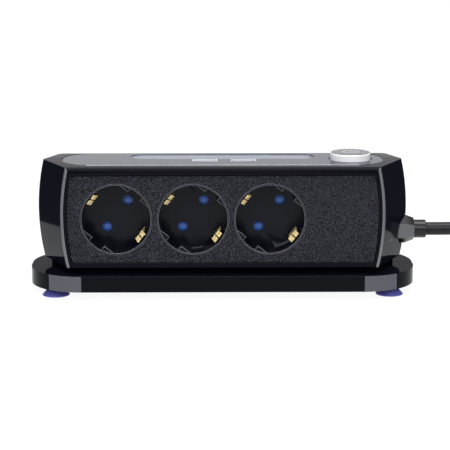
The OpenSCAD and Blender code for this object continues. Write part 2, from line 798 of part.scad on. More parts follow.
module push_button() color(silver) translate([button_x, 0, 0]) difference() {
    bottom = roof_z - 6;
    translate([0, 0, bottom]) cylinder(r = button_r, h = top_z + button_proud - bottom);
    difference() {
        translate([0, 0, bottom - 1]) cylinder(r = button_r - 1.4, h = top_z + button_proud - 2 - bottom + 1);
        translate([0, 0, bottom + 1]) cylinder(r = 5.6, h = 30);
    }
    translate([0, 0, bottom - 1]) cylinder(r = stem_r, h = top_z - bottom);
}

module button_stem() color(pale_plastic) translate([button_x, 0, 0])
    translate([0, 0, switch_z + switch_size[2] - 4]) cylinder(r = stem_r, h = top_z - 1 - switch_z - switch_size[2] + 4);

module button_guide() color(dish_black) translate([button_x, 0, switch_z + switch_size[2]]) difference() {
    h = top_z - inlay_t - switch_z - switch_size[2];
    cylinder(r = guide_r + guide_wall, h = h);
    translate([0, 0, -1]) cylinder(r = guide_r, h = h + 2);
}

module button_spring() color(silver) {
    turns = 4;
    per_turn = 12;
    low = switch_z + switch_size[2] + 0.5;
    high = roof_z - 6 + 1 - 0.5;
    tube([for (i = [0:turns * per_turn]) let (a = 360 * i / per_turn)
        [button_x + 4.6 * cos(a), 4.6 * sin(a), low + (high - low) * i / (turns * per_turn)]], 0.45, 6);
}

module switch_body() color([0.20, 0.20, 0.22]) difference() {
    translate([button_x - switch_size[0] / 2, -switch_size[1] / 2, switch_z]) cube(switch_size);
    translate([button_x, 0, switch_z + switch_size[2] - 8]) cylinder(r = stem_r + 0.2, h = 9);
}

// ---- Lead, gland and wiring ----

module cable_gland() color(gloss_black) at_gland() difference() {
    union() {
        translate([0, 0, gland_seat_x]) cylinder(d = gland_d, h = gland_taper_x - gland_seat_x, $fn = 6);
        translate([0, 0, gland_taper_x])
            cylinder(d1 = gland_d, d2 = gland_end_d, h = gland_end_x - gland_taper_x, $fn = 6);
        translate([0, 0, gland_seat_x - 10]) cylinder(r = gland_barrel_r, h = 11);
        translate([0, 0, gland_seat_x - 8]) cylinder(r = 9, h = 2);
    }
    translate([0, 0, gland_seat_x - 11]) cylinder(r = gland_bore_r, h = 11 + 4);
    translate([0, 0, gland_seat_x - 11]) cylinder(d = relief_d + 0.1, h = 40);
}

module strain_relief() color(dish_black) at_gland() difference() {
    union() {
        translate([0, 0, relief_start_x]) cylinder(r = gland_bore_r + 0.6, h = 1);
        translate([0, 0, relief_start_x]) cylinder(r1 = gland_bore_r - 0.1, r2 = relief_d / 2, h = 14);
        translate([0, 0, relief_start_x]) cylinder(d = relief_d, h = relief_end_x - relief_start_x);
    }
    translate([0, 0, relief_start_x - 1]) cylinder(r = cord_r + 0.05, h = 40);
}

module cord_clamp() color(dish_black) difference() {
    translate([clamp_x, 0, gland_z + clamp_size[2] / 2]) cube(clamp_size, center = true);
    at_gland() cylinder(r = cord_r + 0.05, h = 200);
    clamp_screw_holes();
    for (s = [-1, 1]) translate([clamp_x, s * 7.2, gland_z - 1]) cylinder(r = 1.1, h = 9);
}

module inner_cable() color(dish_black) at_gland() translate([0, 0, cable_end_x]) cylinder(r = cord_r, h = cable_join_x - cable_end_x);

module wire_live_in() color("saddlebrown") tube(live_in_points, wire_r, 8, 2, [0.2, 1, 0.1]);

module wire_live_out() color("saddlebrown") tube(live_out_points, wire_r, 8, 2, [0.2, 1, 0.1]);

module wire_neutral() color("royalblue") tube(neutral_points, wire_r, 8, 2, [0.2, 1, 0.1]);

module wire_earth() color("yellowgreen") tube(earth_points, wire_r, 8, 2, [0.2, 1, 0.1]);

// ---- Fasteners ----

// A pan-head screw whose shank runs up z from the head's seat
module screw(r, head, head_thick, length) {
    translate([0, 0, -head_thick]) difference() {
        cylinder(r = head, h = head_thick);
        for (a = [0, 90]) rotate([0, 0, a]) cube([head * 1.2, 0.6, head_thick], center = true);
    }
    cylinder(r = r, h = length);
}

module shell_screws() color(silver) at_posts() translate([0, 0, head_y]) mirror([0, 0, 1])
    screw(screw_r - 0.05, head_r, head_h, head_y + 14);

module base_screws() color(silver) at_base_screws([-base_screw_y, base_screw_y])
    translate([0, 0, neck_z - base_wall]) screw(screw_r - 0.05, head_r, head_h, base_post_top - neck_z + base_wall - 1.5);

module carrier_screws() color(silver) at_carrier_screws() translate([0, 0, -rail_cover_t])
    screw(screw_r - 0.05, head_r, head_h, rail_cover_t + carrier_screw_len);

module clamp_screws() color(silver) for (s = [-1, 1]) translate([clamp_x, s * 7.2, gland_z + clamp_size[2]])
    rotate([180, 0, 0]) screw(0.85, 1.6, 1, clamp_size[2] + 6);

// ---- The lead outside, with its plug ----

module power_cord() color(dish_black) tube(lead_points, cord_r, 12);

module cord_hank() color(dish_black) {
    outer = hank_inner_r + hank_pitch + cord_r;
    inner = hank_inner_r - cord_r;
    translate([hank_x + hank_run / 2, hank_y, 0]) linear_extrude(hank_layers * cord_d) difference() {
        stadium(hank_run + 2 * outer, 2 * outer);
        stadium(hank_run + 2 * inner, 2 * inner);
    }
}

module plug_lead() color(dish_black) tube(plug_lead_points, cord_r, 12);

// A band round the front run of the hank
module cord_tie() color([0.15, 0.15, 0.16]) {
    run_y = hank_y - hank_inner_r - hank_pitch / 2;
    run_w = hank_pitch + cord_d;
    run_h = hank_layers * cord_d;
    translate([hank_x + hank_run / 2, run_y, run_h / 2]) rotate([90, 0, 90]) linear_extrude(tie_w, center = true)
        difference() {
            translate([0, tie_t / 2]) square([run_w + 2 * tie_t, run_h + tie_t], center = true);
            square([run_w, run_h], center = true);
        }
}

module at_plug() { translate([plug_x, plug_y, plug_z]) rotate([0, 90, 0]) children(); }

module mains_plug() color(gloss_black) at_plug() difference() {
    face = plug_relief + plug_body;
    rotate_extrude() polygon([
        [0, 0], [cord_r + 1.5, 0], [8, plug_relief], [11, plug_relief + 1], [12.5, plug_relief + 16],
        [plug_r, plug_relief + 22], [plug_r, face - 0.8], [plug_r - 0.8, face], [0, face]
    ]);
    for (s = [-1, 1]) {
        translate([0, s * (plug_r + 0.6), face - 6]) cube([5.6, 4, 14], center = true);
        translate([s * plug_r, 0, face - 6]) cube([1.6, 7, 14], center = true);
        translate([0, s * pin_spacing / 2, face - pin_root]) cylinder(r = pin_root_r, h = pin_root + 1);
    }
}

module plug_pins() color(silver) at_plug() for (s = [-1, 1])
    translate([0, s * pin_spacing / 2, plug_relief + plug_body]) {
        translate([0, 0, -pin_root]) cylinder(r = pin_root_r, h = pin_root + 1);
        translate([0, 0, pin_lift]) cylinder(r = pin_r, h = pin_len - pin_lift - pin_tip);
        translate([0, 0, pin_len - pin_tip]) cylinder(r1 = pin_r, r2 = pin_r - 0.8, h = pin_tip);
    }

module plug_earth() color(brass) at_plug() for (s = [-1, 1])
    translate([s * (plug_r - 0.4), 0, plug_relief + plug_body - 6]) cube([0.8, 6.4, 13], center = true);

// ---- Nodes ----

base_plate();
base_cover();
neck();
suction_cup(-cup_x, -cup_y);  // suction_cup_1
suction_cup(cup_x, -cup_y);  // suction_cup_2
suction_cup(cup_x, cup_y);  // suction_cup_3
suction_cup(-cup_x, cup_y);  // suction_cup_4
front_shell();
rear_shell();
front_panel();
top_inlay();
socket_dish(0);  // socket_dish_1
socket_dish(1);  // socket_dish_2
socket_dish(2);  // socket_dish_3
shutter(0);  // shutter_1
shutter(1);  // shutter_2
shutter(2);  // shutter_3
shutter_springs();
earth_bow(0);  // earth_bow_1
earth_bow(1);  // earth_bow_2
earth_bow(2);  // earth_bow_3
earth_rail();
live_rail();
neutral_rail();
contact_carrier();
carrier_pillars();
rail_cover();
usb_shell(usb_xs[0]);  // usb_shell_left
usb_shell(usb_xs[1]);  // usb_shell_right
usb_tongue(usb_xs[0]);  // usb_tongue_left
usb_tongue(usb_xs[1]);  // usb_tongue_right
usb_port_board();
converter_board();
transformer();
capacitors();
push_button();
button_stem();
button_guide();
button_spring();
switch_body();
cable_gland();
strain_relief();
cord_clamp();
inner_cable();
wire_live_in();
wire_live_out();
wire_neutral();
wire_earth();
shell_screws();
base_screws();
carrier_screws();
clamp_screws();
power_cord();
cord_hank();
plug_lead();
cord_tie();
mains_plug();
plug_pins();
plug_earth();
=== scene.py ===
"""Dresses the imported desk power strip: its materials, its rounded edges and its stored lead."""

import logging
import math
from dataclasses import dataclass, field
from enum import Enum
from typing import Callable, Iterable, Sequence

import bmesh
import bpy
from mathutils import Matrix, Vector


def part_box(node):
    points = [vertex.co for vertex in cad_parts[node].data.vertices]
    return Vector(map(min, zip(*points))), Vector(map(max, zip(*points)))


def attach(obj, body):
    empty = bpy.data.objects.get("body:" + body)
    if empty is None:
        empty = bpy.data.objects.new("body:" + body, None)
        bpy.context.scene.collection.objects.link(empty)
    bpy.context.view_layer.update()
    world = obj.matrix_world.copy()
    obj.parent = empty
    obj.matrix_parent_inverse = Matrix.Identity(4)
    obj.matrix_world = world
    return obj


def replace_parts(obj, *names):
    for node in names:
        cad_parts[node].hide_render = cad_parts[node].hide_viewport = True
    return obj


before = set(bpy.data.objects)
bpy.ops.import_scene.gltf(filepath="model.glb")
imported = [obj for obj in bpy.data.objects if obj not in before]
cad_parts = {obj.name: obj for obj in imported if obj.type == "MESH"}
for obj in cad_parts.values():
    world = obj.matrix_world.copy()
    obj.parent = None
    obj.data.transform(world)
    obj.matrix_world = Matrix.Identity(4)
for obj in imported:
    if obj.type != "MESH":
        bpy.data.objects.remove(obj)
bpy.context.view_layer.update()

log = logging.getLogger("power_strip")

MM = 0.001
STRIP = "strip"
BUTTON = "button"

WELD = 3e-6
SAME_PLANE = math.radians(0.6)
ROUNDED_FROM = math.radians(28)
SHARP_FROM = math.radians(32)
HAIR = 0.1 * MM

Point = tuple[float, float, float]
Flat = tuple[float, float]
Rule = Callable[[bmesh.types.BMEdge], tuple[float, bool]]
Pick = Callable[[bmesh.types.BMFace], int]
Line = tuple[Vector, Vector, float]


# ---- Finishes ----


class Pattern(Enum):
    """The fine surface that a finish has."""

    POLISHED = "polished"
    LEATHER = "leather"
    MOULDED = "moulded"
    BRUSHED = "brushed"
    SHEATH = "sheath"


@dataclass(frozen=True)
class Finish:
    """One material: its colour, its gloss and its fine surface.

    Args:
        name: The material's name.
        color: The base colour, linear.
        roughness: The roughness on which the pattern varies.
        pattern: The fine surface.
        grain: The size of the pattern, in metres.
        relief: The depth of the pattern, in metres.
        metallic: 1 for bare metal.
        ior: How strongly a plastic mirrors.
        transmission: How much light passes through.
        tint: How far the pattern varies the colour.
    """

    name: str
    color: tuple[float, float, float]
    roughness: float = 0.3
    pattern: Pattern = Pattern.MOULDED
    grain: float = 0.0004
    relief: float = 0.00001
    metallic: float = 0.0
    ior: float = 1.5
    transmission: float = 0.0
    tint: float = 0.08


GLOSS_BLACK = Finish("gloss_black", (0.003, 0.003, 0.006), 0.06, Pattern.POLISHED, 0.03, 0.000004, ior=1.15)
# painted reflection: a bluer, lighter copy of the shell's black for its end faces
END_BLACK_PAINTED_REFLECTION = Finish("end_black_painted_reflection", (0.005, 0.006, 0.012), 0.08, Pattern.POLISHED, 0.03, 0.000004, ior=1.125)
# painted shade: a bluer copy of the shell's black with much weaker mirroring, which darkens its top
TOP_BLACK_PAINTED_SHADE = Finish("top_black_painted_shade", (0.006, 0.006, 0.012), 0.14, Pattern.POLISHED, 0.03, 0.000004, ior=1.065)
BASE_GLOSS = Finish("base_gloss", (0.0025, 0.003, 0.005), 0.05, Pattern.POLISHED, 0.03, 0.000004, ior=1.16)
# painted shade: a bluer copy of the base's black with much weaker mirroring, which darkens its top
BASE_TOP_PAINTED_SHADE = Finish("base_top_painted_shade", (0.004, 0.004, 0.009), 0.05, Pattern.POLISHED, 0.03, 0.000004, ior=1.045)
# painted highlight: a lighter grey on the rounding of the base's top front edge
BASE_EDGE_PAINTED_HIGHLIGHT = Finish("base_edge_painted_highlight", (0.024, 0.024, 0.032), 0.2, Pattern.POLISHED, 0.03, 0.000004, ior=1.2)
# painted highlight: a lighter grey on the wall where the base's front corners begin
BASE_CORNER_PAINTED_HIGHLIGHT = Finish("base_corner_painted_highlight", (0.082, 0.084, 0.102), 0.14, Pattern.POLISHED, 0.03, 0.000004, ior=1.3)
INLAY_GLOSS = Finish("inlay_gloss", (0.012, 0.015, 0.033), 0.10, Pattern.POLISHED, 0.03, 0.000004, ior=1.25)
# painted highlight: a pale grey on the trough's back wall and along the inlay's front edge
INLAY_PAINTED_HIGHLIGHT = Finish("inlay_painted_highlight", (0.56, 0.60, 0.69), 0.22, Pattern.POLISHED, 0.03, 0.000004, ior=1.4)
# painted highlight: a lighter grey on the roundings of the front face's side edges
FRONT_EDGE_PAINTED_HIGHLIGHT = Finish("front_edge_painted_highlight", (0.145, 0.148, 0.165), 0.25, Pattern.POLISHED, 0.02, 0.000003)
PANEL_GRAIN = Finish(
    "panel_grain", (0.032, 0.032, 0.046), 0.34, Pattern.LEATHER, 0.00095, 0.0007, tint=0.95, ior=1.3
)
RECESS_BLACK = Finish("recess_black", (0.004, 0.005, 0.010), 0.2, Pattern.MOULDED, 0.0006, 0.000008, ior=1.25)
# painted highlight: a lighter grey on the roundings of the recess rims
RIM_PAINTED_HIGHLIGHT = Finish("rim_painted_highlight", (0.13, 0.13, 0.15), 0.25, Pattern.POLISHED, 0.01, 0.000003)
SHUTTER_BLUE = Finish("shutter_blue", (0.014, 0.085, 0.38), 0.1, Pattern.MOULDED, 0.0005, 0.00001)
CUP_GEL = Finish(
    "cup_gel", (0.14, 0.145, 0.50), 0.12, Pattern.POLISHED, 0.004, 0.00002, transmission=0.35, ior=1.42
)
BRASS = Finish("contact_brass", (0.86, 0.66, 0.30), 0.24, Pattern.BRUSHED, 0.0006, 0.000006, metallic=1.0)
CLIP_BRASS = Finish(
    "clip_brass", (1.0, 0.80, 0.40), 0.2, Pattern.BRUSHED, 0.0016, 0.00003, metallic=0.1, tint=0.45
)
STEEL = Finish("screw_steel", (0.60, 0.60, 0.61), 0.3, Pattern.BRUSHED, 0.0005, 0.000006, metallic=1.0)
NICKEL = Finish("nickel", (0.85, 0.85, 0.86), 0.16, Pattern.BRUSHED, 0.0004, 0.000003, metallic=1.0)
PORT_BRIGHT = Finish("port_bright", (0.54, 0.55, 0.60), 0.3, Pattern.BRUSHED, 0.0004, 0.000003, metallic=0.4)
PALE_PLASTIC = Finish("pale_plastic", (0.74, 0.74, 0.70), 0.4, Pattern.MOULDED, 0.0005, 0.00001)
BOARD_GREEN = Finish("board_green", (0.015, 0.13, 0.06), 0.3, Pattern.BRUSHED, 0.0012, 0.000012, tint=0.3)
COIL_TAPE = Finish("coil_tape", (0.66, 0.48, 0.08), 0.35, Pattern.BRUSHED, 0.001, 0.00001, tint=0.2)
SLEEVE_BLUE = Finish("capacitor_sleeve", (0.03, 0.03, 0.10), 0.25, Pattern.MOULDED, 0.0006, 0.00001)
BUTTON_SIDE = Finish("button_side", (0.95, 0.95, 0.97), 0.3, Pattern.BRUSHED, 0.003, 0.000004)
BUTTON_TOP = Finish("button_top", (0.10, 0.10, 0.12), 0.16, Pattern.POLISHED, 0.004, 0.000004, ior=1.25)
BUTTON_DISC = Finish("button_disc", (0.22, 0.22, 0.26), 0.14, Pattern.POLISHED, 0.003, 0.000004, ior=1.35)
SYMBOL_INK = Finish("symbol_ink", (0.02, 0.02, 0.03), 0.35, Pattern.MOULDED, 0.0003, 0.000004, ior=1.2)
SWITCH_BLACK = Finish("switch_black", (0.02, 0.02, 0.022), 0.4, Pattern.MOULDED, 0.0005, 0.00001)
SHEATH_BLACK = Finish("sheath_black", (0.006, 0.006, 0.008), 0.38, Pattern.SHEATH, 0.0008, 0.00002, ior=1.35)
RELIEF_BLACK = Finish("relief_black", (0.006, 0.006, 0.008), 0.28, Pattern.MOULDED, 0.0005, 0.00001, ior=1.4)
# painted highlight: a lighter grey on the gland nut's faces that look straight ahead
NUT_PAINTED_HIGHLIGHT = Finish("nut_painted_highlight", (0.12, 0.122, 0.135), 0.24, Pattern.POLISHED, 0.006, 0.000004)
PLUG_BLACK = Finish("plug_black", (0.014, 0.014, 0.016), 0.38, Pattern.MOULDED, 0.0005, 0.00002)
WIRE_BROWN = Finish("wire_brown", (0.16, 0.055, 0.02), 0.35, Pattern.SHEATH, 0.0006, 0.00001)
WIRE_BLUE = Finish("wire_blue", (0.02, 0.12, 0.45), 0.35, Pattern.SHEATH, 0.0006, 0.00001)
WIRE_GREEN = Finish("wire_green", (0.28, 0.50, 0.04), 0.35, Pattern.SHEATH, 0.0006, 0.00001)
TABLE_PALE = Finish("table_pale", (0.1, 0.1, 0.1), 0.9, Pattern.MOULDED, 0.02, 0.00001, ior=1.05, tint=0.01)


def add_input(tree: bpy.types.NodeTree, name: str, default: float) -> None:
    """Adds a number input to a node group's interface.

    Args:
        tree: The group.
        name: The input's name.
        default: Its value where nothing sets it.
    """
    item = tree.interface.new_socket(name=name, in_out="INPUT", socket_type="NodeSocketFloat")
    item.default_value = default


def texture_group(pattern: Pattern) -> bpy.types.NodeTree:
    """Makes or finds the node group for a pattern.

    Args:
        pattern: The fine surface.

    Returns:
        The group, with inputs Scale and Roughness, and outputs Tint, Roughness and Height.
    """
    name = f"surface_{pattern.value}"
    found = bpy.data.node_groups.get(name)
    if found:
        return found
    tree = bpy.data.node_groups.new(name, "ShaderNodeTree")
    add_input(tree, "Scale", 1000.0)
    add_input(tree, "Roughness", 0.3)
    for out in ("Tint", "Roughness", "Height"):
        tree.interface.new_socket(name=out, in_out="OUTPUT", socket_type="NodeSocketFloat")
    nodes, links = tree.nodes, tree.links
    source = nodes.new("NodeGroupInput")
    sink = nodes.new("NodeGroupOutput")
    place = nodes.new("ShaderNodeTexCoord")

    def combine(operation: str, a: object, b: object) -> bpy.types.NodeSocket:
        """Combines two numbers or sockets.

        Args:
            operation: The sum to do.
            a: The first number or socket.
            b: The second number or socket.

        Returns:
            The result's socket.
        """
        step = nodes.new("ShaderNodeMath")
        step.operation = operation
        for socket, value in zip(step.inputs, (a, b)):
            if isinstance(value, (int, float)):
                socket.default_value = value
            else:
                links.new(value, socket)
        return step.outputs[0]

    def noise(stretch: Point, times: float, detail: float) -> bpy.types.NodeSocket:
        """Adds a noise that follows the Scale input.

        Args:
            stretch: How the noise is squeezed along each axis.
            times: How many times as fine as the Scale it is.
            detail: How many finer layers it has.

        Returns:
            The noise's socket.
        """
        mapping = nodes.new("ShaderNodeMapping")
        mapping.inputs["Scale"].default_value = stretch
        links.new(place.outputs["Object"], mapping.inputs["Vector"])
        grain = nodes.new("ShaderNodeTexNoise")
        grain.inputs["Detail"].default_value = detail
        links.new(mapping.outputs[0], grain.inputs["Vector"])
        links.new(combine("MULTIPLY", source.outputs["Scale"], times), grain.inputs["Scale"])
        return grain.outputs["Fac"]

    smudge = noise((1, 1, 1), 0.12, 2.0)
    height = tint = smudge
    if pattern is Pattern.LEATHER:
        sway, pebble_edge, fine_share = 0.0007, 0.28, 0.35
        cells = nodes.new("ShaderNodeTexVoronoi")
        cells.feature = "DISTANCE_TO_EDGE"
        warp = nodes.new("ShaderNodeVectorMath")
        warp.operation = "MULTIPLY_ADD"
        wobble = nodes.new("ShaderNodeTexNoise")
        links.new(place.outputs["Object"], wobble.inputs["Vector"])
        links.new(combine("MULTIPLY", source.outputs["Scale"], 0.8), wobble.inputs["Scale"])
        links.new(wobble.outputs["Color"], warp.inputs[0])
        warp.inputs[1].default_value = (sway, sway, sway)
        links.new(place.outputs["Object"], warp.inputs[2])
        links.new(warp.outputs[0], cells.inputs["Vector"])
        links.new(source.outputs["Scale"], cells.inputs["Scale"])
        lift = nodes.new("ShaderNodeMapRange")
        lift.interpolation_type = "SMOOTHSTEP"
        lift.inputs["From Max"].default_value = pebble_edge
        links.new(cells.outputs["Distance"], lift.inputs["Value"])
        fine = combine("MULTIPLY", noise((1, 1, 1), 3.0, 3.0), fine_share)
        height = combine("ADD", lift.outputs[0], fine)
        tint = lift.outputs[0]
    elif pattern is Pattern.BRUSHED:
        height = noise((0.06, 1, 1), 1.0, 4.0)
        tint = height
    elif pattern is Pattern.SHEATH:
        height = combine("ADD", noise((1, 1, 1), 1.0, 2.0), noise((0.1, 1, 1), 0.5, 1.0))
    elif pattern is Pattern.MOULDED:
        height = noise((1, 1, 1), 1.0, 3.0)
    spread = combine("MULTIPLY", combine("SUBTRACT", smudge, 0.5), 0.5)
    rough = combine("MULTIPLY", source.outputs["Roughness"], combine("ADD", spread, 1.0))
    links.new(tint, sink.inputs["Tint"])
    links.new(rough, sink.inputs["Roughness"])
    links.new(height, sink.inputs["Height"])
    return tree


def material(finish: Finish) -> bpy.types.Material:
    """Makes or finds the material for a finish.

    Args:
        finish: The finish.

    Returns:
        The procedural material.
    """
    found = bpy.data.materials.get(f"finish_{finish.name}")
    if found:
        return found
    made = bpy.data.materials.new(f"finish_{finish.name}")
    made.use_nodes = True
    made.diffuse_color = (*finish.color, 1.0)
    nodes, links = made.node_tree.nodes, made.node_tree.links
    shader = nodes["Principled BSDF"]
    surface = nodes.new("ShaderNodeGroup")
    surface.node_tree = texture_group(finish.pattern)
    surface.inputs["Scale"].default_value = 1.0 / finish.grain
    surface.inputs["Roughness"].default_value = finish.roughness
    blend = nodes.new("ShaderNodeMix")
    blend.data_type = "RGBA"
    blend.inputs["A"].default_value = (*(c * (1 - finish.tint) for c in finish.color), 1.0)
    blend.inputs["B"].default_value = (*(c * (1 + finish.tint) for c in finish.color), 1.0)
    links.new(surface.outputs["Tint"], blend.inputs["Factor"])
    links.new(blend.outputs["Result"], shader.inputs["Base Color"])
    links.new(surface.outputs["Roughness"], shader.inputs["Roughness"])
    bump = nodes.new("ShaderNodeBump")
    bump.inputs["Strength"].default_value = 1.0
    bump.inputs["Distance"].default_value = finish.relief
    links.new(surface.outputs["Height"], bump.inputs["Height"])
    links.new(bump.outputs["Normal"], shader.inputs["Normal"])
    shader.inputs["Metallic"].default_value = finish.metallic
    shader.inputs["IOR"].default_value = finish.ior
    shader.inputs["Transmission Weight"].default_value = finish.transmission
    return made


# ---- Making pieces ----


def node(name: str) -> bpy.types.Object:
    """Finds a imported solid.

    Args:
        name: The node's name.

    Returns:
        Its object.
    """
    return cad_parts[name]


def paint(names: Iterable[str], finish: Finish) -> None:
    """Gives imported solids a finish.

    Args:
        names: The nodes.
        finish: Their finish.
    """
    for name in names:
        solid = node(name)
        solid.data.materials.clear()
        solid.data.materials.append(material(finish))
        log.info("%s: %s", name, finish.name)


def add_piece(name: str, mesh: bpy.types.Mesh, body: str, finishes: Sequence[Finish]) -> bpy.types.Object:
    """Puts a mesh into the scene as a piece that rides on a body.

    Args:
        name: The piece's name.
        mesh: Its mesh, in the frame's place.
        body: The body that it rides on.
        finishes: One finish for each material index.

    Returns:
        The piece.
    """
    piece = bpy.data.objects.new(name, mesh)
    bpy.context.scene.collection.objects.link(piece)
    for index, finish in enumerate(finishes):
        if index < len(mesh.materials):
            mesh.materials[index] = material(finish)
        else:
            mesh.materials.append(material(finish))
    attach(piece, body)
    log.info("%s: %d faces", name, len(mesh.polygons))
    return piece


def everywhere(width: float) -> Rule:
    """Makes the rule that rounds each outer edge alike.

    Args:
        width: The rounding, in metres.

    Returns:
        The rule.
    """
    return lambda edge: (width, False)


def softened(
    source: str,
    name: str,
    body: str,
    rule: Rule,
    finishes: Sequence[Finish],
    pick: Pick = lambda face: 0,
    segments: int = 3,
    clamp: bool = True,
) -> bpy.types.Object:
    """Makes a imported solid's visible piece, with its sharp outer edges rounded.

    Args:
        source: The node that the piece replaces.
        name: The piece's name.
        body: The body that it rides on.
        rule: Gives an edge's rounding in metres, and whether that rounding takes the last finish.
        finishes: The finishes.
        pick: Gives the index of a face's finish.
        segments: How many steps a rounding has.
        clamp: Whether the roundings shrink where they would meet.

    Returns:
        The piece.
    """
    work = bmesh.new()
    work.from_mesh(node(source).data)
    bmesh.ops.remove_doubles(work, verts=work.verts, dist=WELD)
    bmesh.ops.dissolve_limit(
        work, angle_limit=SAME_PLANE, use_dissolve_boundaries=False, verts=work.verts, edges=work.edges
    )
    weight = work.edges.layers.float.new("bevel_weight_edge")
    work.normal_update()
    for face in work.faces:
        face.material_index = pick(face)
    groups: dict[tuple[float, bool], list[bmesh.types.BMEdge]] = {}
    for edge in work.edges:
        if len(edge.link_faces) == 2 and edge.is_convex and edge.calc_face_angle(0.0) > ROUNDED_FROM:
            width, own = rule(edge)
            if width > 0:
                groups.setdefault((width, own), []).append(edge)
    widest = max((key[0] for key in groups), default=0.0)
    lines: list[Line] = []
    for (width, own), edges in groups.items():
        for edge in edges:
            edge[weight] = width / widest
            if own:
                lines.append((edge.verts[0].co.copy(), edge.verts[1].co.copy(), width))
    mesh = meshed(work, name)
    if groups:
        mesh = rounded(mesh, widest, segments, lines, len(finishes) - 1, clamp)
    mesh = flat_faced(mesh)
    piece = add_piece(name, mesh, body, finishes)
    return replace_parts(piece, source)


def rounded(
    mesh: bpy.types.Mesh, widest: float, segments: int, lines: Sequence[Line], last: int, clamp: bool
) -> bpy.types.Mesh:
    """Rounds the weighted edges of a mesh.

    Args:
        mesh: The mesh, with a weight on each edge to round.
        widest: The widest rounding, in metres.
        segments: How many steps a rounding has.
        lines: The edges whose rounding takes the last finish.
        last: The index of the last finish.
        clamp: Whether the roundings shrink where they would meet.

    Returns:
        The rounded mesh.
    """
    holder = bpy.data.objects.new("rounding", mesh)
    bpy.context.scene.collection.objects.link(holder)
    edge_round = holder.modifiers.new("round", "BEVEL")
    edge_round.width = widest
    edge_round.segments = segments
    edge_round.limit_method = "WEIGHT"
    edge_round.use_clamp_overlap = clamp
    edge_round.miter_outer = "MITER_SHARP"
    edge_round.harden_normals = False
    if not lines:
        return applied(holder)
    for _ in range(last + 2 - len(mesh.materials)):
        mesh.materials.append(None)
    edge_round.material = last + 1
    result = applied(holder)
    for face in result.polygons:
        if face.material_index == last + 1:
            face.material_index = last if any(close_to(face.center, line) for line in lines) else 0
    result.materials.pop(index=last + 1)
    return result


def close_to(place: Vector, line: Line) -> bool:
    """Tells whether a place lies on an edge's rounding.

    Args:
        place: The place.
        line: The edge's ends and its rounding.

    Returns:
        Whether it does.
    """
    start, end, width = line
    along = end - start
    share = min(max((place - start).dot(along) / max(along.length_squared, 1e-18), 0.0), 1.0)
    return (place - start - along * share).length < width


def flat_faced(mesh: bpy.types.Mesh) -> bpy.types.Mesh:
    """Smooths a mesh so that its large faces stay flat and only its roundings shade across.

    Args:
        mesh: The mesh.

    Returns:
        The smoothed mesh.
    """
    mesh.shade_smooth()
    mesh.set_sharp_from_angle(angle=SHARP_FROM)
    holder = bpy.data.objects.new("smoothing", mesh)
    bpy.context.scene.collection.objects.link(holder)
    smooth = holder.modifiers.new("flat", "WEIGHTED_NORMAL")
    smooth.keep_sharp = True
    smooth.weight = 100
    return applied(holder)


def applied(holder: bpy.types.Object) -> bpy.types.Mesh:
    """Takes an object's mesh with its modifiers applied, and drops the object.

    Args:
        holder: The object.

    Returns:
        The mesh.
    """
    bpy.context.view_layer.update()
    graph = bpy.context.evaluated_depsgraph_get()
    result = bpy.data.meshes.new_from_object(holder.evaluated_get(graph))
    bpy.data.objects.remove(holder)
    return result


class Axis(Enum):
    """The way that a turned shape points."""

    UP = "up"
    ALONG = "along"


def meshed(work: bmesh.types.BMesh, name: str) -> bpy.types.Mesh:
    """Turns a mesh under work into a finished one.

    Args:
        work: The mesh under work, which is freed.
        name: The new mesh's name.

    Returns:
        The mesh.
    """
    mesh = bpy.data.meshes.new(name)
    work.to_mesh(mesh)
    work.free()
    return mesh


def lathe(profile: Sequence[Flat], centre: Point, axis: Axis = Axis.UP, steps: int = 64) -> bpy.types.Mesh:
    """Turns a profile about an axis.

    Args:
        profile: Points as radius and height, in metres.
        centre: The point that height 0 stands on.
        axis: The way that it points.
        steps: How many sides the turning has.

    Returns:
        The mesh.
    """
    work = bmesh.new()
    rings = []
    for radius, height in profile:
        ring = []
        for step in range(steps):
            angle = 2 * math.pi * step / steps
            across, up = radius * math.cos(angle), radius * math.sin(angle)
            local = (across, up, height) if axis is Axis.UP else (height, across, up)
            ring.append(work.verts.new(Vector(centre) + Vector(local)))
        rings.append(ring)
    for low, high in zip(rings, rings[1:]):
        for step in range(steps):
            after = (step + 1) % steps
            work.faces.new((low[step], low[after], high[after], high[step]))
    bmesh.ops.remove_doubles(work, verts=work.verts, dist=1e-7)
    bmesh.ops.recalc_face_normals(work, faces=work.faces)
    mesh = meshed(work, "lathe")
    mesh.shade_smooth()
    mesh.set_sharp_from_angle(angle=SHARP_FROM)
    return mesh


# ---- The studio ----


